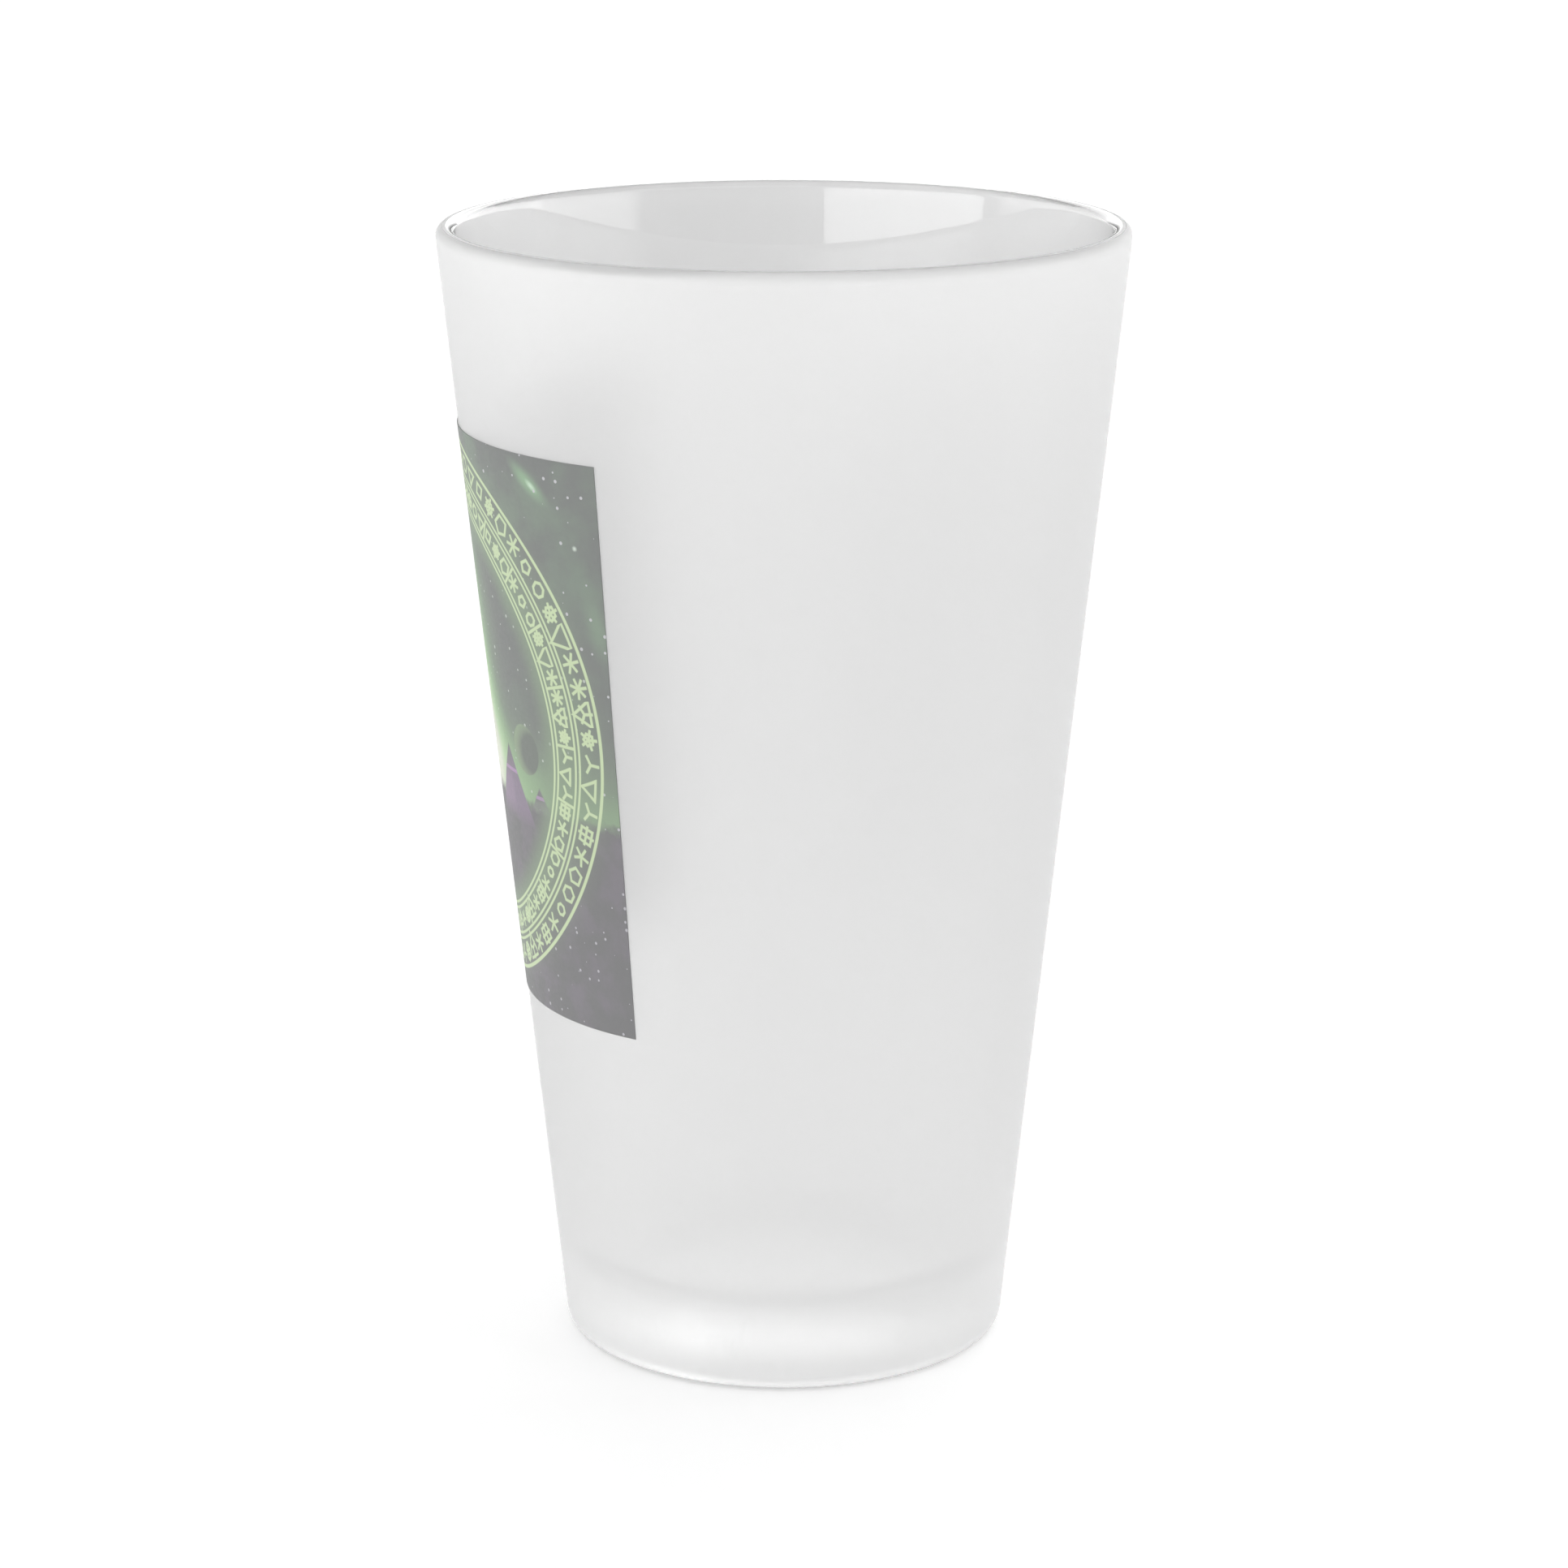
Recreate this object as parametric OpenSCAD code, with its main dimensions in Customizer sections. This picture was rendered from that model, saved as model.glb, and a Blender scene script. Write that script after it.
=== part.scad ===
// Frosted pint glass: a conical tumbler of clear glass with a thick foot, a matt coat sprayed on
// its outside, and a printed panel on the coat. The axis is Z, the foot stands on Z = 0 and the
// print faces -Y. Lengths are in millimetres and angles in degrees.

/* [Glass] */
// Height from the table to the top of the rim
height = 150; // [110:1:180]
// Outside diameter at the mouth, taken on the wall's line at the height of the rim
mouth_d = 90; // [76:1:110]
// Outside diameter at the foot, taken on the wall's line at the table
foot_d = 58.8; // [48:0.2:72]
// Wall at the mouth, which is also the width of the round rim
wall_top = 2.5; // [1.6:0.1:4]
// Wall at the floor of the cavity, measured level
wall_bottom = 5; // [2.5:0.1:7]
// Glass between the table and the floor of the cavity
floor_t = 10; // [5:0.5:20]
// Rounding between the outer wall and the table
heel_r = 2.5; // [1:0.1:4]
// Rounding between the cavity's wall and its floor
corner_r = 5; // [2:0.5:10]
// Width of the flat ring that the glass stands on
ring_w = 4; // [2:0.5:8]
// Depth of the hollow under the foot
punt_h = 1.2; // [0.4:0.1:3]

/* [Frosted coat] */
// Thickness of the coat
coat_t = 0.15; // [0.1:0.01:0.4]
// Clear glass left between the round of the rim and the coat's upper edge
coat_below_round = 0.1; // [0:0.1:20]
// Distance from the table up to the coat's lower edge, part way round the heel
coat_above_table = 0.5; // [0.3:0.1:0.9]

/* [Printed panel] */
// Thickness of the ink
ink_t = 0.1; // [0.05:0.01:0.3]
// Distance from the coat's upper edge down to the print
print_below_coat_top = 23.9; // [0:0.1:50]
// Distance from the table up to the print
print_above_table = 48.6; // [5:0.2:55]
// Angle that the print covers round the glass
print_angle = 113.2; // [20:0.2:340]
// Direction that the middle of the print faces, turning from +X towards +Y
print_facing = -90; // [-180:5:180]

/* [Hidden] */

$fn = 240;

// The outer wall's line: its lean from upright, and its radius at a height
wall_slope = (mouth_d - foot_d) / 2 / height;
wall_lean = atan(wall_slope);
function wall_r(z) = foot_d / 2 + z * wall_slope;

// A direction in the section, turning from outwards (0) towards up (90), and an arc by its angles
arc_steps = 16;
function heading(angle) = [cos(angle), sin(angle)];
function arc(centre, radius, from, to) = [
    for (i = [0 : arc_steps]) centre + radius * heading(from + (to - from) * i / arc_steps)
];

// The heel's arc touches the table and the outer wall
heel_c = [wall_r(heel_r) - heel_r / cos(wall_lean), heel_r];

// The rim's arc touches the outer wall and the glass's full height
rim_r = wall_top / 2;
rim_c = [wall_r(height - rim_r) - rim_r / cos(wall_lean), height - rim_r];
round_start_z = rim_c.y - rim_r * sin(wall_lean);

// The inner wall's line touches the rim's arc and meets the floor one wall in from the outside
inner_rise = rim_c.y - floor_t;
inner_run = rim_c.x - (wall_r(floor_t) - wall_bottom);
inner_lean = acos(rim_r / norm([inner_rise, inner_run])) - atan2(inner_rise, inner_run);
rim_inside = rim_c + rim_r * heading(180 - inner_lean);
function inner_wall_r(z) = rim_inside.x - (rim_inside.y - z) * tan(inner_lean);

// The cavity's corner arc touches the inner wall and the floor
corner_c = [inner_wall_r(floor_t + corner_r) - corner_r / cos(inner_lean), floor_t + corner_r];

// The hollow under the foot is a shallow part of a large ball
punt_edge_r = heel_c.x - ring_w;
punt_ball_r = (punt_edge_r ^ 2 + punt_h ^ 2) / (2 * punt_h);
punt_fn = 1440;

// Heights of the coat's upper edge and of the print's upper edge
coat_top_z = round_start_z - coat_below_round;
print_top_z = coat_top_z - print_below_coat_top;

// The coat's outer face at a height, and the ink's thickness measured level
function coat_r(z) = wall_r(z) + coat_t / cos(wall_lean);
ink_level = [ink_t / cos(wall_lean), 0];

// Section of everything inside the outer wall and the heel, grown outwards by a coat's thickness
module outline(grow) {
    polygon([
        [0, -grow],
        each arc(heel_c, heel_r + grow, -90, -wall_lean),
        [wall_r(height) + grow / cos(wall_lean), height],
        [0, height]
    ]);
}

// Section of the glass, from the axis outwards and back in over the rim
module glass_section() {
    difference() {
        polygon([
            [0, 0],
            each arc(heel_c, heel_r, -90, -wall_lean),
            each arc(rim_c, rim_r, -wall_lean, 180 - inner_lean),
            each arc(corner_c, corner_r, -inner_lean, -90),
            [0, floor_t]
        ]);
        translate([0, punt_h - punt_ball_r]) circle(r = punt_ball_r, $fn = punt_fn);
    }
}

// Section of the coat: the skin between the two outlines, cut level at its edges
module coat_section() {
    intersection() {
        difference() {
            outline(coat_t);
            outline(0);
        }
        translate([0, coat_above_table]) square([mouth_d, coat_top_z - coat_above_table]);
    }
}

// Clear pressed glass: the conical wall, the round rim and the thick foot are one piece
module glass_body() {
    color([0.86, 0.9, 0.89, 0.45])
        rotate_extrude() glass_section();
}

// Matt coat on the outside, from the heel to just under the polished rim
module frosted_coat() {
    color([0.9, 0.9, 0.9, 0.7])
        rotate_extrude() coat_section();
}

// Ink film on the coat, with upright side edges and level top and bottom edges
module printed_panel() {
    low = [coat_r(print_above_table), print_above_table];
    high = [coat_r(print_top_z), print_top_z];
    color([0.5, 0.56, 0.5])
        rotate_extrude(angle = print_angle, start = print_facing - print_angle / 2)
            polygon([low, low + ink_level, high + ink_level, high]);
}

glass_body();
frosted_coat();
printed_panel();
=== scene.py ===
# %% [markdown]
# # A frosted pint glass
#
# This lesson builds the looks of a frosted pint glass round its CAD model. The real one is three
# things: a tumbler pressed in one piece from clear glass, a matt coat sprayed on its outside, and
# a square picture printed on the coat. Each gets its own mesh, because each meets light in its
# own way: the inside is polished, the outside is matt, and the ink is a flat colour.
#
# The CAD model is loaded first. It fixes every size and place, and Blender never moves it.

# %% Load the CAD frame
import math
import bpy
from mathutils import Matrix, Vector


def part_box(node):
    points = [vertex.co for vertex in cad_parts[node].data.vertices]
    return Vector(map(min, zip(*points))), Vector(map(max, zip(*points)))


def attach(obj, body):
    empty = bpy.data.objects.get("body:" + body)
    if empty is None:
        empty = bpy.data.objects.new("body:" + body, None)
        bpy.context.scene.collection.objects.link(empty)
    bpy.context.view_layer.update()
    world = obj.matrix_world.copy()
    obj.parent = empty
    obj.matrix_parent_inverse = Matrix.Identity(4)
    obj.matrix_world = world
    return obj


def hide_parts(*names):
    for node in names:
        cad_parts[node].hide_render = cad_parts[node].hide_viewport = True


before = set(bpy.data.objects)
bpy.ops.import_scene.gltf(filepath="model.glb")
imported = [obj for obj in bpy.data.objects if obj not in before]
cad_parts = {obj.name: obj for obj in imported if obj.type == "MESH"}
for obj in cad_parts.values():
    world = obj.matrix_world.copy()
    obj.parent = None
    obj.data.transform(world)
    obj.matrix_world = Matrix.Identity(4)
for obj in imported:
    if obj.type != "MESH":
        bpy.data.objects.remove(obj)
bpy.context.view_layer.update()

MM = 0.001

# %% [markdown]
# ## The drawing
#
# A glass is a shape of revolution, so its whole drawing is one half section. These are the
# drawing's sizes. Heights come from the CAD model's boxes where a box holds them. The others are
# the cone's two diameters, the wall, the floor and the roundings, which no box can give.

# %% Sizes of the section, in metres
GLASS_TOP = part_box("glass_body")[1][2]
COAT_LOW, COAT_HIGH = (corner[2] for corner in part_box("frosted_coat"))
PRINT_LOW, PRINT_HIGH = (corner[2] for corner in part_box("printed_panel"))
MOUTH_D = 90 * MM
FOOT_D = 58.8 * MM
WALL_TOP = 2.5 * MM
WALL_BOTTOM = 5 * MM
FLOOR_T = 10 * MM
HEEL_R = 2.5 * MM
CORNER_R = 5 * MM
RING_W = 4 * MM
PUNT_H = 1.2 * MM
COAT_T = 0.15 * MM
INK_T = 0.1 * MM
PRINT_ANGLE = math.radians(113.2)

WALL_SLOPE = (MOUTH_D - FOOT_D) / 2 / GLASS_TOP
WALL_LEAN = math.atan(WALL_SLOPE)


def wall_radius(z, grow=0.0):
    """Radius of the outer wall at a height, on a face grown outwards by a skin's thickness."""
    return FOOT_D / 2 + z * WALL_SLOPE + grow / math.cos(WALL_LEAN)


print("wall leans", round(math.degrees(WALL_LEAN), 2), "degrees")

# %% [markdown]
# An arc is drawn by its centre, radius and angles, and a straight stretch by its ends. Both give
# a list of (radius, height) points. The straight stretch gets a point close to each end, which
# holds the smooth shading of the roundings in place, so that it doesn't creep up the flat wall.

# %% Arcs and lines of the section
ARC_STEPS = 14
HOLD = 0.4 * MM


def arc(centre, radius, start, end):
    """Points on an arc. Angles are in radians: 0 faces outwards and a quarter turn faces up."""
    turns = [start + (end - start) * i / ARC_STEPS for i in range(ARC_STEPS + 1)]
    return [(centre[0] + radius * math.cos(t), centre[1] + radius * math.sin(t)) for t in turns]


def between(start, end, count):
    """Points strictly between two ends: one held close to each, and count spread evenly."""
    length = math.dist(start, end)
    shares = [HOLD / length] + [i / (count + 1) for i in range(1, count + 1)] + [1 - HOLD / length]
    return [tuple(a + (b - a) * s for a, b in zip(start, end)) for s in shares]


# %% [markdown]
# The section's roundings each touch two lines. The heel touches the table and the outer wall,
# the rim touches the outer wall and the top, and the corner touches the inner wall and the floor.
# The inner wall leans a degree more than the outer one, because the glass thickens downwards.

# %% Centres of the roundings
heel_c = (wall_radius(HEEL_R) - HEEL_R / math.cos(WALL_LEAN), HEEL_R)
rim_r = WALL_TOP / 2
rim_c = (wall_radius(GLASS_TOP - rim_r) - rim_r / math.cos(WALL_LEAN), GLASS_TOP - rim_r)
rise = rim_c[1] - FLOOR_T
run = rim_c[0] - (wall_radius(FLOOR_T) - WALL_BOTTOM)
INNER_LEAN = math.acos(rim_r / math.hypot(rise, run)) - math.atan2(rise, run)
inner_foot_r = rim_c[0] - rim_r / math.cos(INNER_LEAN) - rise * math.tan(INNER_LEAN)
corner_c = (
    inner_foot_r + CORNER_R * math.tan(INNER_LEAN) - CORNER_R / math.cos(INNER_LEAN),
    FLOOR_T + CORNER_R,
)
punt_edge_r = heel_c[0] - RING_W
punt_ball_r = (punt_edge_r**2 + PUNT_H**2) / (2 * PUNT_H)
punt_c = (0.0, PUNT_H - punt_ball_r)
print("inner wall leans", round(math.degrees(INNER_LEAN), 2), "degrees")

# %% [markdown]
# ## The lathe
#
# A real tumbler is pressed in a mould that was itself turned on a lathe. Blender's Spin operator
# is that lathe: it sweeps a chain of edges round an axis. The chain starts as a plane whose
# corners are merged into one point, and each further point is extruded from the last. After the
# sweep the first and last columns are merged, and all faces are turned outwards.

# %% Spin a section into a piece
SPIN_STEPS = 256
MERGE = 0.002 * MM


def lathe(name, section):
    """Sweeps a list of (radius, height) points round Z and returns the new object."""
    bpy.ops.object.select_all(action="DESELECT")
    bpy.ops.mesh.primitive_plane_add(size=MM, location=(0, 0, 0))
    piece = bpy.context.object
    piece.name = piece.data.name = name
    bpy.ops.object.mode_set(mode="EDIT")
    bpy.ops.mesh.merge(type="CENTER")
    bpy.ops.transform.translate(value=(section[0][0], 0, section[0][1]))
    for (r0, z0), (r1, z1) in zip(section, section[1:]):
        step = {"value": (r1 - r0, 0, z1 - z0)}
        bpy.ops.mesh.extrude_vertices_move(TRANSFORM_OT_translate=step)
    bpy.ops.mesh.select_all(action="SELECT")
    bpy.ops.mesh.spin(steps=SPIN_STEPS, angle=math.tau, center=(0, 0, 0), axis=(0, 0, 1))
    bpy.ops.mesh.select_all(action="SELECT")
    bpy.ops.mesh.remove_doubles(threshold=MERGE)
    bpy.ops.mesh.normals_make_consistent(inside=False)
    bpy.ops.object.mode_set(mode="OBJECT")
    bpy.ops.object.shade_smooth()
    print(name, len(piece.data.vertices), "vertices", len(piece.data.polygons), "faces")
    return piece


# %% [markdown]
# ## The glass
#
# The glass is one closed solid: hollow foot, standing ring, heel, outer wall, round rim, inner
# wall, corner and floor. A closed solid matters here more than for an opaque piece, because
# light bends on the way in and bends back on the way out.

# %% Turn the glass
DOWN, UP = -math.pi / 2, math.pi / 2
punt = arc(punt_c, punt_ball_r, UP, math.acos(punt_edge_r / punt_ball_r))
heel = arc(heel_c, HEEL_R, DOWN, -WALL_LEAN)
rim = arc(rim_c, rim_r, -WALL_LEAN, UP) + arc(rim_c, rim_r, UP, math.pi - INNER_LEAN)[1:]
corner = arc(corner_c, CORNER_R, -INNER_LEAN, DOWN)
floor_centre = (0.0, FLOOR_T)
glass = lathe(
    "tumbler",
    punt
    + between(punt[-1], heel[0], 1)
    + heel
    + between(heel[-1], rim[0], 24)
    + rim
    + between(rim[-1], corner[0], 24)
    + corner
    + between(corner[-1], floor_centre, 4)
    + [floor_centre],
)

# %% [markdown]
# ## The coat
#
# The matt coat is sprayed on, and starts part way round the heel. It has its full thickness up to
# just under the rim. From there only a mist of the spray goes on over the rim's outer half, and
# thins out before the crest. The coat is a closed skin that follows the glass. A hair of clearance
# keeps its inner face from lying in the glass's outer face, where the renderer couldn't tell which
# of the two a ray meets first.

# %% Turn the coat
COAT_CLEARANCE = 0.02 * MM
MIST_START, MIST_END = 0.8, 0.2
MIST_ANGLE = math.radians(70)


def mist_line(grow):
    """The rim's outer half, on a face grown outwards by a share that falls from start to end."""
    spray = grow - COAT_CLEARANCE
    turns = [-WALL_LEAN + (MIST_ANGLE + WALL_LEAN) * i / ARC_STEPS for i in range(ARC_STEPS + 1)]
    shares = [MIST_START + (MIST_END - MIST_START) * i / ARC_STEPS for i in range(ARC_STEPS + 1)]
    radii = [rim_r + COAT_CLEARANCE + spray * share for share in shares]
    return [(rim_c[0] + r * math.cos(t), rim_c[1] + r * math.sin(t)) for r, t in zip(radii, turns)]


def outside_line(grow):
    """The heel, the outer wall and the misted rim, on a face grown outwards."""
    edge_angle = -math.asin((HEEL_R - COAT_LOW) / (HEEL_R + grow))
    around_heel = arc(heel_c, HEEL_R + grow, edge_angle, -WALL_LEAN)
    top = (wall_radius(COAT_HIGH, grow), COAT_HIGH)
    return around_heel + between(around_heel[-1], top, 24) + [top] + mist_line(grow)


coat_outside = outside_line(COAT_T)
coat_inside = outside_line(COAT_CLEARANCE)
coat = lathe("matt_coat", coat_outside + coat_inside[::-1] + coat_outside[:1])

# %% [markdown]
# ## The printed panel
#
# The picture was printed flat on a square film and wrapped round the glass. It is made the same
# way: a flat grid, which brings a flat UV map with it, is bent round the Z axis, tapered to the
# wall's cone and given the ink's thickness. The map goes along with the sheet, so the picture
# can be drawn in flat millimetres.

# %% Cut the flat sheet
PRINT_LIFT = 0.01 * MM
SHEET_COLUMNS, SHEET_ROWS = 128, 48
print_mid_z = (PRINT_LOW + PRINT_HIGH) / 2
PRINT_H = PRINT_HIGH - PRINT_LOW
mid_radius = wall_radius(print_mid_z, COAT_T + PRINT_LIFT)
PRINT_W = mid_radius * PRINT_ANGLE

bpy.ops.object.select_all(action="DESELECT")
bpy.ops.mesh.primitive_grid_add(x_subdivisions=SHEET_COLUMNS, y_subdivisions=SHEET_ROWS, size=1)
panel = bpy.context.object
panel.name = panel.data.name = "ink_panel"
panel.data.uv_layers[0].name = "sheet"
bpy.ops.transform.resize(value=(PRINT_W, PRINT_H, 1))
bpy.ops.transform.rotate(value=-math.pi / 2, orient_axis="X", center_override=(0, 0, 0))
bpy.ops.object.transform_apply(location=True, rotation=True, scale=True)
print("sheet", [round(side / MM, 2) for side in panel.dimensions])

# %% [markdown]
# Simple Deform bends a sheet round its own origin, so the sheet is bent there and then moved out
# by its radius. Taper scales each level by its height, which is just what turns a cylinder into
# the wall's cone. Solidify comes last and grows outwards only, from the coat.

# %% Wrap the sheet round the coat


def deform(method, **settings):
    """Applies one Simple Deform about Z to the panel."""
    modifier = panel.modifiers.new(method, "SIMPLE_DEFORM")
    modifier.deform_method = method
    modifier.deform_axis = "Z"
    for name, value in settings.items():
        setattr(modifier, name, value)
    bpy.ops.object.modifier_apply(modifier=modifier.name)


def shift(value):
    """Moves the panel's mesh and leaves its origin where it was."""
    bpy.ops.transform.translate(value=value)
    bpy.ops.object.transform_apply(location=True, rotation=False, scale=False)


deform("BEND", angle=PRINT_ANGLE)
shift((0, -mid_radius, 0))
deform("TAPER", factor=WALL_SLOPE * PRINT_H / mid_radius)
shift((0, 0, print_mid_z))
ink = panel.modifiers.new("ink", "SOLIDIFY")
ink.thickness = INK_T - PRINT_LIFT
ink.offset = 1
bpy.ops.object.modifier_apply(modifier=ink.name)
bpy.ops.object.shade_smooth_by_angle(angle=math.radians(30))
off_wall = [math.hypot(v.co.x, v.co.y) - wall_radius(v.co.z, COAT_T) for v in panel.data.vertices]
print("ink_panel stands", [round(f(off_wall) / MM, 3) for f in (min, max)], "mm off the coat")

# %% [markdown]
# ## Colours and nodes
#
# A material is a small tree of nodes. Colours are given as sRGB hex values, as a colour picker
# shows them, and one function turns them to the linear numbers that light adds up in. Another
# adds a node, so that a tree reads like a list of steps.

# %% Colour and node helpers


def linear(hex_colour):
    """Linear RGBA from an sRGB hex value such as #88AACC."""
    shares = [int(hex_colour[i : i + 2], 16) / 255 for i in (1, 3, 5)]
    return tuple(c / 12.92 if c <= 0.04045 else ((c + 0.055) / 1.055) ** 2.4 for c in shares) + (1,)


def add_node(tree, kind, *inputs, **settings):
    """Adds a node, makes its settings, fills its inputs and returns its first output.

    Inputs are given in order, as numbers, colours or other nodes' outputs. A dictionary at the
    end gives inputs by name."""
    node = tree.nodes.new("ShaderNode" + kind)
    for name, value in settings.items():
        setattr(node, name, value)
    by_name = inputs[-1] if inputs and isinstance(inputs[-1], dict) else {}
    shown = [socket for socket in node.inputs if socket.enabled]
    pairs = [*zip(shown, inputs[: len(inputs) - bool(by_name)])]
    pairs += [(node.inputs[name], value) for name, value in by_name.items()]
    for socket, value in pairs:
        if isinstance(value, bpy.types.NodeSocket):
            tree.links.new(value, socket)
        else:
            socket.default_value = value
    return next((socket for socket in node.outputs if socket.enabled), None)


def new_material(name):
    """A material whose tree is empty."""
    material = bpy.data.materials.new(name)
    material.use_nodes = True
    material.node_tree.nodes.clear()
    return material, material.node_tree


# %% [markdown]
# ## Clear glass
#
# The glass is soda-lime glass, pressed and then fire-polished: the rim and inside are melted
# smooth by flames, which leaves a gloss with faint waves in it, about two centimetres long. It has
# next to no colour. Its IOR of 1.52 gives the bright edges and the reflections inside the mouth.

# %% Polished glass
GLASS_IOR = 1.52
WAVE_LENGTH = 18 * MM


def polished_glass():
    """The inside, the rim's inner half and the underside."""
    material, tree = new_material("fire_polished_soda_lime_glass")
    place = add_node(tree, "TexCoord").node.outputs["Object"]
    waves = add_node(tree, "TexNoise", place, {"Scale": 1 / WAVE_LENGTH, "Detail": 1.0})
    bump = add_node(tree, "Bump", {"Strength": 0.15, "Distance": 0.05 * MM, "Height": waves})
    finish = {"Base Color": linear("#FFFFFF"), "Roughness": 0.02, "IOR": GLASS_IOR}
    shader = add_node(tree, "BsdfPrincipled", {**finish, "Transmission Weight": 1.0, "Normal": bump})
    add_node(tree, "OutputMaterial", shader)
    return material


# %% [markdown]
# ## The frosted side
#
# A spray of clear lacquer with fine silica in it makes the frosted look in two ways. Its grainy
# surface bends light this way and that as it passes, which blurs all that is seen through the
# wall. It also scatters some light straight back, which is the milky white. The first belongs to
# the glass's own outer faces, as a rougher glass. The second is the coat's piece, a matt white
# that covers only part of what is behind it.

# %% Glass under the coat
FROST_ROUGHNESS = 0.4
MIST_GRAIN = 0.5 * MM


def frosted_glass():
    """The glass's outer faces, which the coat and its mist cover."""
    material, tree = new_material("soda_lime_glass_under_matt_lacquer")
    place = add_node(tree, "TexCoord").node.outputs["Object"]
    grain = add_node(tree, "TexNoise", place, {"Scale": 1 / MIST_GRAIN, "Detail": 2.0})
    bump = add_node(tree, "Bump", {"Strength": 0.05, "Distance": 0.01 * MM, "Height": grain})
    finish = {"Base Color": linear("#FFFFFF"), "Roughness": FROST_ROUGHNESS, "IOR": GLASS_IOR}
    shader = add_node(tree, "BsdfPrincipled", {**finish, "Transmission Weight": 1.0, "Normal": bump})
    add_node(tree, "OutputMaterial", shader)
    return material


# %% The matt lacquer
COAT_COVER = 0.36
LACQUER_IOR = 1.48


def matt_lacquer():
    """The sprayed coat's own milky white, with the orange peel of a fine spray."""
    material, tree = new_material("sprayed_matt_lacquer")
    place = add_node(tree, "TexCoord").node.outputs["Object"]
    peel = add_node(tree, "TexNoise", place, {"Scale": 1 / MIST_GRAIN, "Detail": 2.0})
    bump = add_node(tree, "Bump", {"Strength": 0.1, "Distance": 0.01 * MM, "Height": peel})
    rough = add_node(tree, "MapRange", peel, 0.3, 0.7, 0.62, 0.74)
    finish = {"Base Color": linear("#F5F5F5"), "IOR": LACQUER_IOR, "Alpha": COAT_COVER}
    shader = add_node(tree, "BsdfPrincipled", {**finish, "Roughness": rough, "Normal": bump})
    add_node(tree, "OutputMaterial", shader)
    return material


# %% [markdown]
# ## The picture
#
# The print is a night sky inside two bands of marks. All of it is drawn from distances, in
# millimetres on the flat sheet: a ring is where the distance from its middle is near its radius,
# and a patch of light is an oval that fades to its edge. The ink sinks into the matt coat, whose
# white scatter lies over it, so black comes out mid grey and every colour is pale.

# %% Places on the sheet
INK_EDGE = 0.08


def sheet_place(tree):
    """Place on the sheet in mm from its middle, X to the right and Y up, seen from outside."""
    sheet = add_node(tree, "UVMap", uv_map="sheet")
    size = (PRINT_W / MM, PRINT_H / MM, 0)
    middle = tuple(-side / 2 for side in size)
    return add_node(tree, "VectorMath", sheet, size, middle, operation="MULTIPLY_ADD")


def gap(tree, value, middle):
    """How far a value is from a middle, either way."""
    away = add_node(tree, "Math", value, middle, operation="SUBTRACT")
    return add_node(tree, "Math", away, operation="ABSOLUTE")


def inked(tree, distance, width):
    """1 within half a line's width, and 0 past its soft edge."""
    ends = (width / 2 - INK_EDGE, width / 2 + INK_EDGE, 1.0, 0.0)
    return add_node(tree, "MapRange", distance, *ends, interpolation_type="SMOOTHSTEP")


def strongest(tree, first, *others):
    """The largest of several masks."""
    for other in others:
        first = add_node(tree, "Math", first, other, operation="MAXIMUM")
    return first


def oval(tree, place, middle, size, lean=0.0, soft=1.0):
    """1 in an oval patch, fading to 0 over the outer share of it that soft gives."""
    turn = (0, 0, math.radians(lean))
    flat = add_node(tree, "Mapping", place, (*middle, 0), turn, (*size, 1), vector_type="TEXTURE")
    reach = add_node(tree, "VectorMath", flat, operation="LENGTH")
    return add_node(tree, "MapRange", reach, 1 - soft, 1.0, 1.0, 0.0, interpolation_type="SMOOTHSTEP")


def painted(tree, under, mask, hex_colour, strength=1.0):
    """Paints a colour over another where a mask is 1."""
    share = add_node(tree, "Math", mask, strength, operation="MULTIPLY")
    return add_node(tree, "Mix", share, under, linear(hex_colour), data_type="RGBA")


# %% [markdown]
# The sky is darkest at the top, with green clouds in its upper half and purple ones low down.
# Light comes up from behind the horizon in a pale column. One ramp turns the amount of light
# into ink, from the dark of the sky through greens to nearly white.

# %% Sky
HORIZON = -9.5


def clouds(tree, place, grain, seed):
    """Soft patches of cloud, grain mm across. The seed is a depth in the noise."""
    shifted = add_node(tree, "VectorMath", place, (0, 0, seed * grain), operation="ADD")
    puffs = add_node(tree, "TexNoise", shifted, {"Scale": 1 / grain, "Detail": 4.0})
    return add_node(tree, "MapRange", puffs, 0.42, 0.68, 0.0, 1.0, interpolation_type="SMOOTHSTEP")


def sky(tree, place, up):
    """The sky and the ground under it, before any line is drawn."""
    column = oval(tree, place, (0, 5), (18, 33))
    bloom = oval(tree, place, (0, -5), (31, 15))
    low = add_node(tree, "MapRange", up, HORIZON + 13, HORIZON, 0.0, 0.38, interpolation_type="SMOOTHSTEP")
    light = add_node(tree, "Math", column, 0.8, low, operation="MULTIPLY_ADD")
    light = add_node(tree, "Math", bloom, 0.5, light, operation="MULTIPLY_ADD")
    ramp = add_node(tree, "ValToRGB", light)
    stops = ramp.node.color_ramp.elements
    stops[0].color = linear("#888B89")
    stops[1].color = linear("#EEF3E2")
    for share, ink in ((0.25, "#919F8F"), (0.5, "#A6C29D"), (0.75, "#C4E0B6")):
        stops.new(share).color = linear(ink)
    high = add_node(tree, "MapRange", up, -8.0, 22.0, 0.0, 0.5)
    green = add_node(tree, "Math", clouds(tree, place, 9.0, 1), high, operation="MULTIPLY")
    return painted(tree, ramp, green, "#93A693")


# %% [markdown]
# Mountains stand on the plain, mirrored left and right. A peak is a place where the height is
# under a line that falls away on both sides of its top, and over its own foot line. Its top is
# dark, its sides are purple, and a thin streak of light crosses it where the sun grazes it.

# %% Mountains and ground


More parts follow.
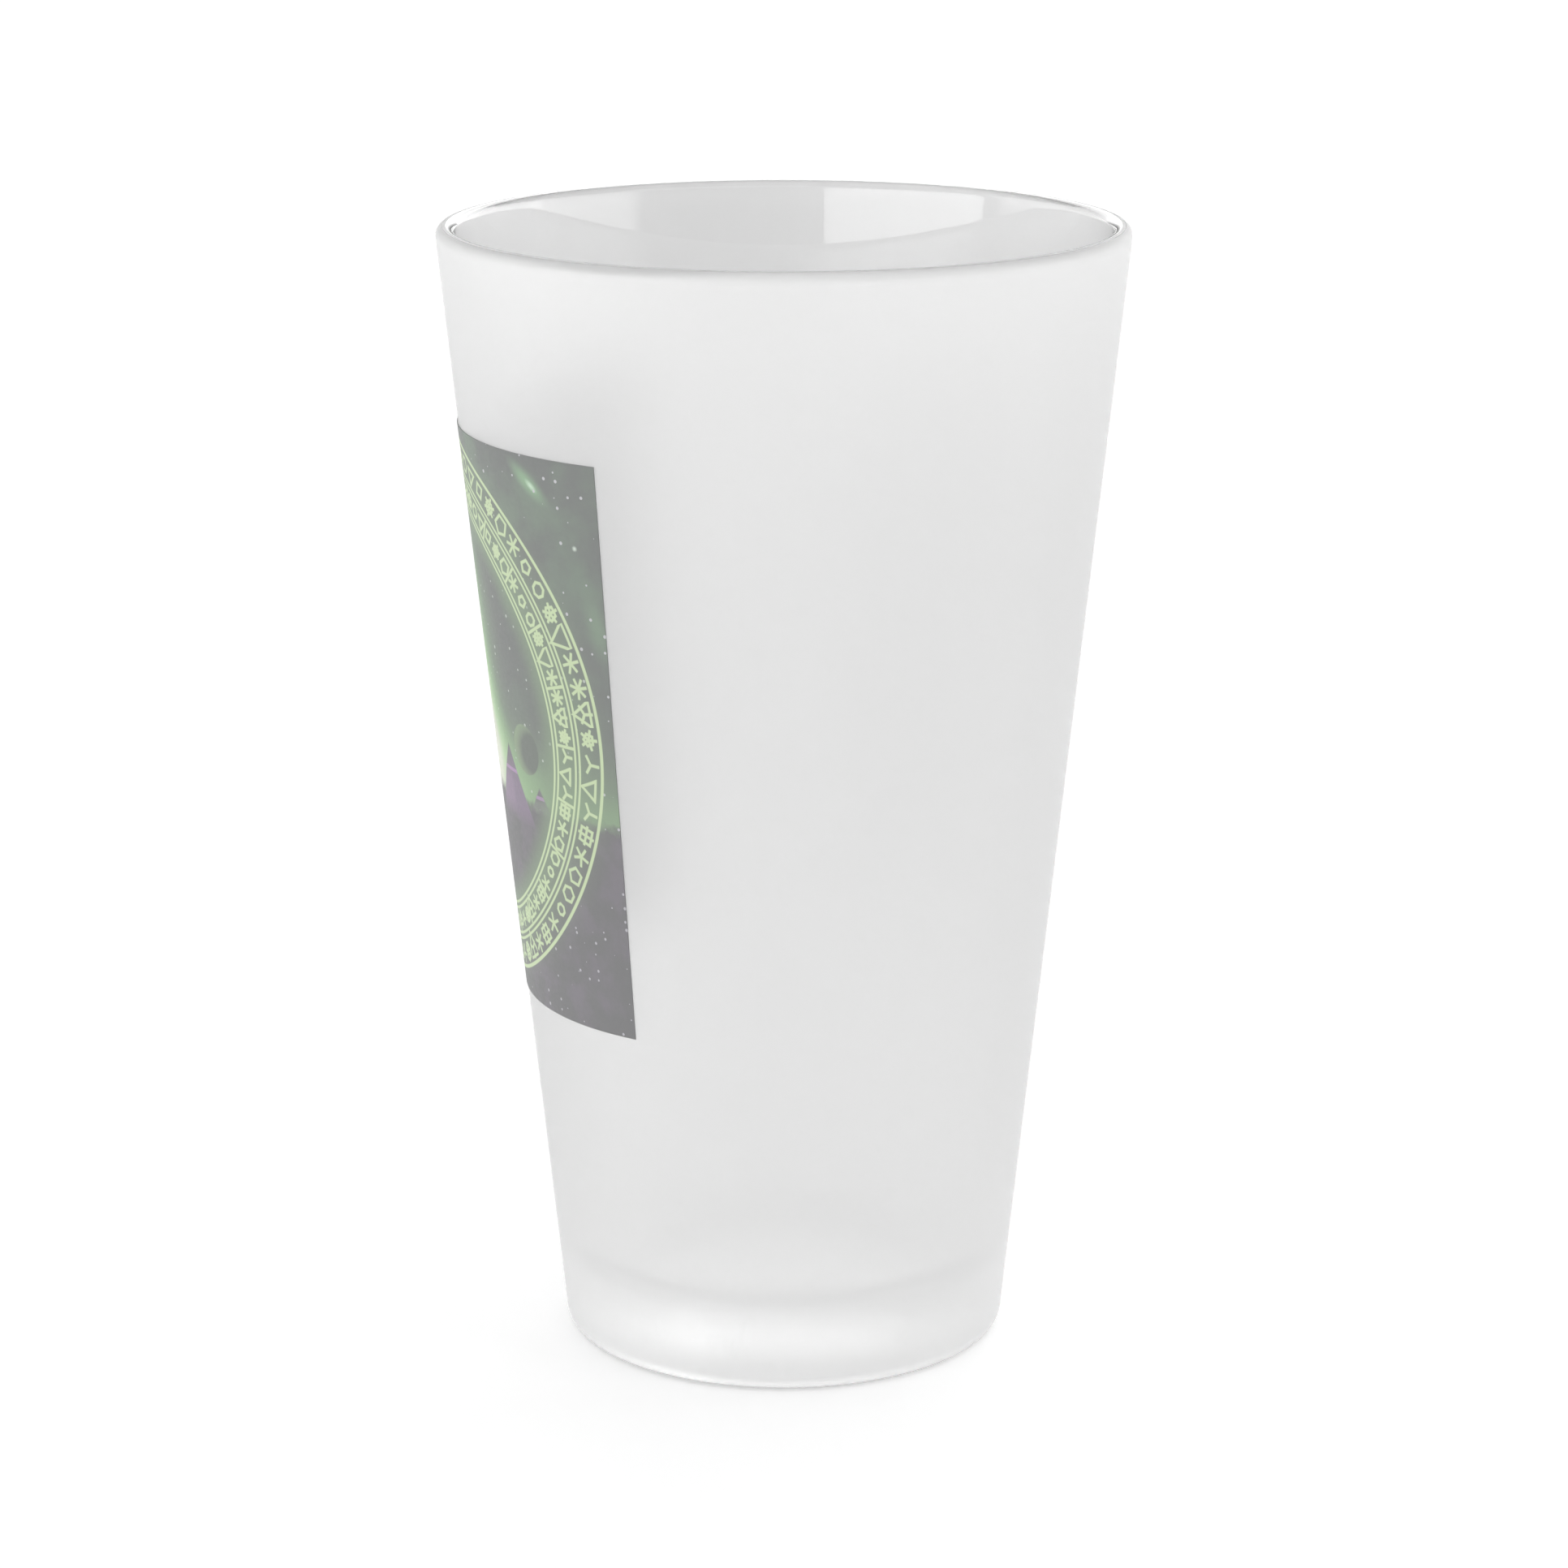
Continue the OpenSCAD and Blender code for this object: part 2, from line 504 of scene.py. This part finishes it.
def mountain(tree, under, across, up, top, foot, fall):
    """A peak, darker on the side that faces away from the light."""
    aside = gap(tree, across, top[0])
    slope = add_node(tree, "Math", aside, fall, up, operation="MULTIPLY_ADD")
    flank = add_node(tree, "MapRange", slope, top[1] - 0.2, top[1] + 0.2, 1.0, 0.0)
    base = add_node(tree, "MapRange", up, foot, foot + 2.5)
    peak = add_node(tree, "Math", flank, base, operation="MULTIPLY")
    under = painted(tree, under, peak, "#8A868C")
    lower = add_node(tree, "MapRange", up, top[1] - 1.5, top[1] - 5.0)
    lower = add_node(tree, "Math", lower, peak, operation="MULTIPLY")
    under = painted(tree, under, lower, "#AA99AF", 0.75)
    far_side = add_node(tree, "MapRange", across, top[0] - 0.3, top[0] + 0.8)
    shade = add_node(tree, "Math", far_side, peak, operation="MULTIPLY")
    under = painted(tree, under, shade, "#948B99", 0.6)
    streak = inked(tree, gap(tree, up, top[1] - (top[1] - foot) / 3), 0.5)
    streak = add_node(tree, "Math", streak, peak, operation="MULTIPLY")
    return painted(tree, under, streak, "#C3A5CA", 0.8)


def land(tree, under, place, across, up):
    """The dark plain, then the far peak and the near one."""
    rough = add_node(tree, "TexNoise", place, {"Scale": 0.9, "Detail": 3.0})
    treeline = add_node(tree, "Math", rough, 2.4, up, operation="MULTIPLY_ADD")
    ground = add_node(tree, "MapRange", treeline, HORIZON + 0.4, HORIZON + 2.0, 1.0, 0.0)
    under = painted(tree, under, ground, "#868687")
    glint = add_node(tree, "Math", clouds(tree, place, 5.0, 3), ground, operation="MULTIPLY")
    under = painted(tree, under, glint, "#978F9B", 0.4)
    under = mountain(tree, under, across, up, (22.9, -6.7), -10.6, 1.33)
    return mountain(tree, under, across, up, (14.3, -2.4), -12.8, 1.55)


# %% [markdown]
# Stars are the points of a Voronoi pattern, which scatters one point in each cell. Only some
# cells get a star, and those differ in size. A galaxy and a few patches of cloud are ovals.

# %% Stars, galaxy and planet
STAR_CELL = 1.9
STAR_SIZE = 0.26


def stars(tree, place):
    """Small round stars in two cells out of five."""
    grid = {"Scale": 1 / STAR_CELL}
    nearest = add_node(tree, "TexVoronoi", place, grid, voronoi_dimensions="2D").node
    dice = add_node(tree, "SeparateColor", nearest.outputs["Color"])
    size = add_node(tree, "MapRange", dice, 0.58, 1.0, 0.0, STAR_SIZE / STAR_CELL)
    lit = add_node(tree, "Math", size, nearest.outputs["Distance"], operation="SUBTRACT")
    return add_node(tree, "MapRange", lit, 0.0, 0.03, 0.0, 0.8)


def far_sky(tree, under, place):
    """What stands in the sky: cloud patches, a galaxy and a bright star."""
    purple = clouds(tree, place, 7.0, 5)
    for middle, size, lean in (((32.0, -21.0), (9, 13), -20), ((-30.0, -26.0), (13, 8), 10)):
        patch = add_node(tree, "Math", oval(tree, place, middle, size, lean), purple, operation="MULTIPLY")
        under = painted(tree, under, patch, "#9D90A5", 0.7)
    for middle, size, lean in (((36.9, 17.0), (2.6, 7), 12), ((-33.0, 22.0), (5, 9), -15)):
        under = painted(tree, under, oval(tree, place, middle, size, lean), "#98AD97", 0.7)
    under = painted(tree, under, oval(tree, place, (27.2, 34.6), (5.2, 1.7), -36), "#A3C3A2", 0.9)
    under = painted(tree, under, oval(tree, place, (27.9, 34.2), (1.5, 0.6), -36), "#D5EED5")
    return painted(tree, under, oval(tree, place, (34.4, 27.1), (0.5, 0.5)), "#E0ECE0")


def planet(tree, under, place):
    """A dim ball that grows darker from its lit edge."""
    ball = oval(tree, place, (20.2, -2.0), (3.5, 3.5), 0, 0.08)
    under = painted(tree, under, ball, "#A0B197")
    night = oval(tree, place, (22.0, -2.2), (5.2, 4.6))
    night = add_node(tree, "Math", night, ball, operation="MULTIPLY")
    night = add_node(tree, "Math", night, 2.2, operation="MULTIPLY", use_clamp=True)
    return painted(tree, under, night, "#858B85")


# %% [markdown]
# The two bands round the picture hold rows of small closed marks. Each mark draws its own random
# numbers from its place in the row, and they choose its sides, its size, and whether it has
# spokes, an outline or both. So no two neighbours match, and none of them is a letter.

# %% Bands of marks
RING_MIDDLE = (0.0, 0.33, 0.0)
RING_LINES = ((36.0, 0.5), (32.2, 0.36), (31.45, 0.36), (28.05, 0.36), (27.3, 0.36))
OUTER_BAND, INNER_BAND = 34.1, 29.75
OUTER_MARK_H, INNER_MARK_H = 2.9, 2.35
DIVIDER_H = 3.6
MARK_LINE = 0.42


def marks(tree, radius, direction, band, count, height):
    """A row of marks whose middles lie on a circle."""
    step = math.tau / count
    turns = add_node(tree, "Math", direction, step, operation="DIVIDE")
    place = add_node(tree, "Math", turns, operation="FLOOR")
    aside = add_node(tree, "Math", turns, place, operation="SUBTRACT")
    aside = add_node(tree, "Math", aside, step * band, -step * band / 2, operation="MULTIPLY_ADD")
    outwards = add_node(tree, "Math", radius, band, operation="SUBTRACT")
    arm = add_node(tree, "CombineXYZ", aside, outwards)
    reach = add_node(tree, "VectorMath", arm, operation="LENGTH")

    dice = add_node(tree, "TexWhiteNoise", place, noise_dimensions="1D").node.outputs["Color"]
    first = add_node(tree, "SeparateColor", dice)
    second, third = first.node.outputs["Green"], first.node.outputs["Blue"]
    sides = add_node(tree, "Math", first, 5.0, 3.0, operation="MULTIPLY_ADD")
    sides = add_node(tree, "Math", sides, operation="FLOOR")
    half_wedge = add_node(tree, "Math", math.pi, sides, operation="DIVIDE")
    less = add_node(tree, "Math", half_wedge, -1.0, operation="MULTIPLY")
    angle = add_node(tree, "Math", aside, outwards, operation="ARCTAN2")
    angle = add_node(tree, "Math", angle, half_wedge, less, operation="WRAP")

    flat = add_node(tree, "Math", angle, operation="COSINE")
    flat = add_node(tree, "Math", flat, reach, operation="MULTIPLY")
    inner = add_node(tree, "MapRange", second, 0.0, 1.0, height * 0.2, height * 0.42)
    outline = inked(tree, gap(tree, flat, inner), MARK_LINE)
    beside = add_node(tree, "Math", angle, operation="SINE")
    beside = add_node(tree, "Math", beside, reach, operation="MULTIPLY")
    spoke = inked(tree, gap(tree, beside, 0.0), MARK_LINE)
    spoke = add_node(tree, "Math", spoke, inked(tree, reach, height), operation="MULTIPLY")
    has_outline = add_node(tree, "Math", third, 0.72, operation="LESS_THAN")
    has_spokes = add_node(tree, "Math", third, 0.42, operation="GREATER_THAN")
    outline = add_node(tree, "Math", outline, has_outline, operation="MULTIPLY")
    spoke = add_node(tree, "Math", spoke, has_spokes, operation="MULTIPLY")
    return strongest(tree, outline, spoke)


def dividers(tree, radius, direction, count):
    """Short lines across the inner band."""
    step = math.tau / count
    turns = add_node(tree, "Math", direction, step, operation="DIVIDE")
    nearest = add_node(tree, "Math", turns, operation="ROUND")
    away = add_node(tree, "Math", gap(tree, turns, nearest), step * INNER_BAND, operation="MULTIPLY")
    in_band = inked(tree, gap(tree, radius, INNER_BAND), DIVIDER_H)
    return add_node(tree, "Math", inked(tree, away, MARK_LINE), in_band, operation="MULTIPLY")


# %% [markdown]
# The layers go down in the order in which they cover each other. The ground of the bands is
# dark, so that their green lines glow, and a wide faint halo lies under the lines. The colours
# are those that the finished print shows under the bright studio, so the ink itself is held a
# little deeper.

# %% The printed ink
INK_DEPTH = "#DEDEDE"


def print_colour(tree):
    """The whole picture's colour."""
    place = sheet_place(tree)
    up = add_node(tree, "SeparateXYZ", place).node.outputs["Y"]
    across = gap(tree, up.node.outputs["X"], 0.0)
    folded = add_node(tree, "CombineXYZ", across, up)
    spoke = add_node(tree, "VectorMath", place, RING_MIDDLE, operation="SUBTRACT")
    radius = add_node(tree, "VectorMath", spoke, operation="LENGTH")
    y = add_node(tree, "SeparateXYZ", spoke).node.outputs["Y"]
    direction = add_node(tree, "Math", y, y.node.outputs["X"], operation="ARCTAN2")

    colour = sky(tree, place, up)
    colour = far_sky(tree, colour, place)
    specks = stars(tree, place)
    colour = painted(tree, colour, specks, "#DCE2DC")
    colour = planet(tree, colour, folded)
    colour = land(tree, colour, place, across, up)
    outside = add_node(tree, "MapRange", radius, RING_LINES[0][0], RING_LINES[0][0] + 0.5)
    specks = add_node(tree, "Math", specks, outside, operation="MULTIPLY")
    colour = painted(tree, colour, specks, "#D5D3DA")
    halo = oval(tree, spoke, (0, 0), (39.5, 39.5), 0, 0.32)
    inside = oval(tree, spoke, (0, 0), (27.7, 27.7), 0, 0.16)
    halo = add_node(tree, "Math", halo, inside, operation="SUBTRACT")
    colour = painted(tree, colour, halo, "#9BAE95", 0.75)
    lines = [inked(tree, gap(tree, radius, r), width) for r, width in RING_LINES]
    lines.append(marks(tree, radius, direction, OUTER_BAND, 64, OUTER_MARK_H))
    lines.append(marks(tree, radius, direction, INNER_BAND, 72, INNER_MARK_H))
    lines.append(dividers(tree, radius, direction, 24))
    colour = painted(tree, colour, strongest(tree, *lines), "#D6E8BE")
    return add_node(tree, "Mix", 1.0, colour, linear(INK_DEPTH), data_type="RGBA", blend_type="MULTIPLY")


def printed_ink():
    """Ink on the coat, as matt as the coat is."""
    material, tree = new_material("transfer_ink_on_matt_lacquer")
    grain = add_node(tree, "TexNoise", sheet_place(tree), {"Scale": 1.5, "Detail": 3.0})
    bump = add_node(tree, "Bump", {"Strength": 0.1, "Distance": 0.01 * MM, "Height": grain})
    rough = add_node(tree, "MapRange", grain, 0.3, 0.7, 0.55, 0.65)
    finish = {"Base Color": print_colour(tree), "Roughness": rough, "IOR": 1.5, "Normal": bump}
    add_node(tree, "OutputMaterial", add_node(tree, "BsdfPrincipled", finish))
    return material


# %% [markdown]
# Seen from inside the glass, a print shows its white base, which the printer lays down first so
# that the colours don't drown in clear glass.

# %% The white base under the ink


def white_base():
    """The back of the print."""
    material, tree = new_material("white_base_ink")
    grain = add_node(tree, "TexNoise", sheet_place(tree), {"Scale": 1.5, "Detail": 3.0})
    shade = add_node(tree, "Mix", grain, linear("#EDEDED"), linear("#F6F6F6"), data_type="RGBA")
    add_node(tree, "OutputMaterial", add_node(tree, "BsdfPrincipled", shade, {"Roughness": 0.8}))
    return material


# %% [markdown]
# ## Finishes on the pieces
#
# A face of the glass is frosted if it looks outwards above the coat's lower edge. A face of the
# print that looks inwards is its back.

# %% Hand out the materials


def looks_outwards(face):
    """Whether a face turns away from the glass's axis."""
    return face.normal.x * face.center.x + face.normal.y * face.center.y > 0


for finish in (polished_glass(), frosted_glass()):
    glass.data.materials.append(finish)
for finish in (printed_ink(), white_base()):
    panel.data.materials.append(finish)
coat.data.materials.append(matt_lacquer())
for face in glass.data.polygons:
    face.material_index = int(looks_outwards(face) and face.center.z > COAT_LOW)
for face in panel.data.polygons:
    face.material_index = int(not looks_outwards(face))
print("frosted faces", sum(face.material_index for face in glass.data.polygons))

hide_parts("glass_body")
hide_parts("frosted_coat")
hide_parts("printed_panel")
for piece, slot in ((glass, "clear_glass"), (coat, "frosted_coat"), (panel, "printed_ink")):
    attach(piece, "root")

# %% [markdown]
# ## The table and the camera
#
# The table is a plain sheet of white acrylic, lit faintly from below as on a product
# photographer's light table, which keeps the glass's foot bright. The camera looks down on the
# glass a little from the print's right-hand side, with a long lens that keeps the sides nearly
# straight.

# %% Table
TABLE_W = 12
TABLE_GLOW = 0.35
bpy.ops.object.select_all(action="DESELECT")
bpy.ops.mesh.primitive_plane_add(size=TABLE_W)
table_top = bpy.context.object
table_top.name = "table_top"
material, tree = new_material("lit_white_acrylic")
surface = {"Base Color": linear("#E8E8E8"), "Roughness": 1.0, "Specular IOR Level": 0.0}
glow = {"Emission Color": linear("#FFFFFF"), "Emission Strength": TABLE_GLOW}
add_node(tree, "OutputMaterial", add_node(tree, "BsdfPrincipled", {**surface, **glow}))
table_top.data.materials.append(material)

# %% Camera
CAMERA_AWAY = 0.5788
CAMERA_UP = 0.2283
CAMERA_DIP = math.radians(14.84)
LENS = 103.05
SENSOR_W = 36
bpy.ops.object.camera_add(
    location=(CAMERA_AWAY, 0, CAMERA_UP),
    rotation=(math.pi / 2 - CAMERA_DIP, 0, math.pi / 2),
)
camera = bpy.context.object
camera.data.lens = LENS
camera.data.sensor_width = SENSOR_W
camera.data.clip_start = 0.01
bpy.context.scene.camera = camera
print("camera", tuple(round(c, 3) for c in camera.location))

# %% [markdown]
# ## The studio
#
# Glass shows its surroundings and hardly itself, so its surroundings are its light. The studio
# is painted on the sky as soft boxes: areas between two headings and two heights in degrees, each
# with a brightness and a soft edge. Heading 0 is behind the camera and 90 is at its right. Boxes
# behind the glass shine through its walls. The key at the left has sharp edges, which show as a
# reflection inside the mouth. The ceiling's box reaches past the zenith, so that no soft edge
# falls there. A faint room light fills what is left. The camera itself sees plain white, as if
# the backdrop were far behind and overexposed.

# %% Soft boxes
SOFT_BOXES = {
    "key": {"heading": (-77, -15), "height": (-2, 22), "edge": 1.5, "light": 3.1},
    "front": {"heading": (-10, 70), "height": (26, 50), "edge": 8, "light": 1.1},
    "ceiling": {"heading": (-180, 180), "height": (60, 100), "edge": 8, "light": 0.6},
    "left rear": {"heading": (-160, -86), "height": (-10, 28), "edge": 8, "light": 1.9},
    "rear": {"heading": (160, 200), "height": (6, 34), "edge": 8, "light": 2.6},
    "right rear": {"heading": (100, 165), "height": (-10, 28), "edge": 8, "light": 2.8},
    "right": {"heading": (56, 104), "height": (-10, 28), "edge": 8, "light": 2.3},
}
ROOM_LIGHT = 0.22
BACKDROP_LIGHT = 1.05


def share_inside(tree, angle, low, high, edge):
    """1 where an angle is between two others, in degrees, with a soft edge."""
    middle, half = math.radians((low + high) / 2), math.radians((high - low) / 2)
    away = add_node(tree, "Math", angle, middle, operation="SUBTRACT")
    away = add_node(tree, "Math", away, math.pi, -math.pi, operation="WRAP")
    away = add_node(tree, "Math", away, operation="ABSOLUTE")
    ends = (half - math.radians(edge) / 2, half + math.radians(edge) / 2, 1.0, 0.0)
    return add_node(tree, "MapRange", away, *ends, interpolation_type="SMOOTHSTEP")


studio = bpy.data.worlds.new("studio")
bpy.context.scene.world = studio
studio.use_nodes = True
tree = studio.node_tree
tree.nodes.clear()
along = add_node(tree, "SeparateXYZ", add_node(tree, "TexCoord"))
heading = add_node(tree, "Math", along.node.outputs["Y"], along, operation="ARCTAN2")
height = add_node(tree, "Math", along.node.outputs["Z"], operation="ARCSINE")
total = ROOM_LIGHT
for box in SOFT_BOXES.values():
    across = share_inside(tree, heading, *box["heading"], box["edge"])
    upright = share_inside(tree, height, *box["height"], box["edge"])
    inside = add_node(tree, "Math", across, upright, operation="MULTIPLY")
    total = add_node(tree, "Math", inside, box["light"], total, operation="MULTIPLY_ADD")
lit = add_node(tree, "Background", {"Strength": total})
backdrop = add_node(tree, "Background", {"Strength": BACKDROP_LIGHT})
for shade in (lit, backdrop):
    shade.node.inputs["Color"].default_value = linear("#FFFFFF")
seen = add_node(tree, "LightPath")
add_node(tree, "OutputWorld", add_node(tree, "MixShader", seen, lit, backdrop))
bpy.context.scene.view_settings.view_transform = "Standard"
print("studio", len(SOFT_BOXES), "soft boxes")
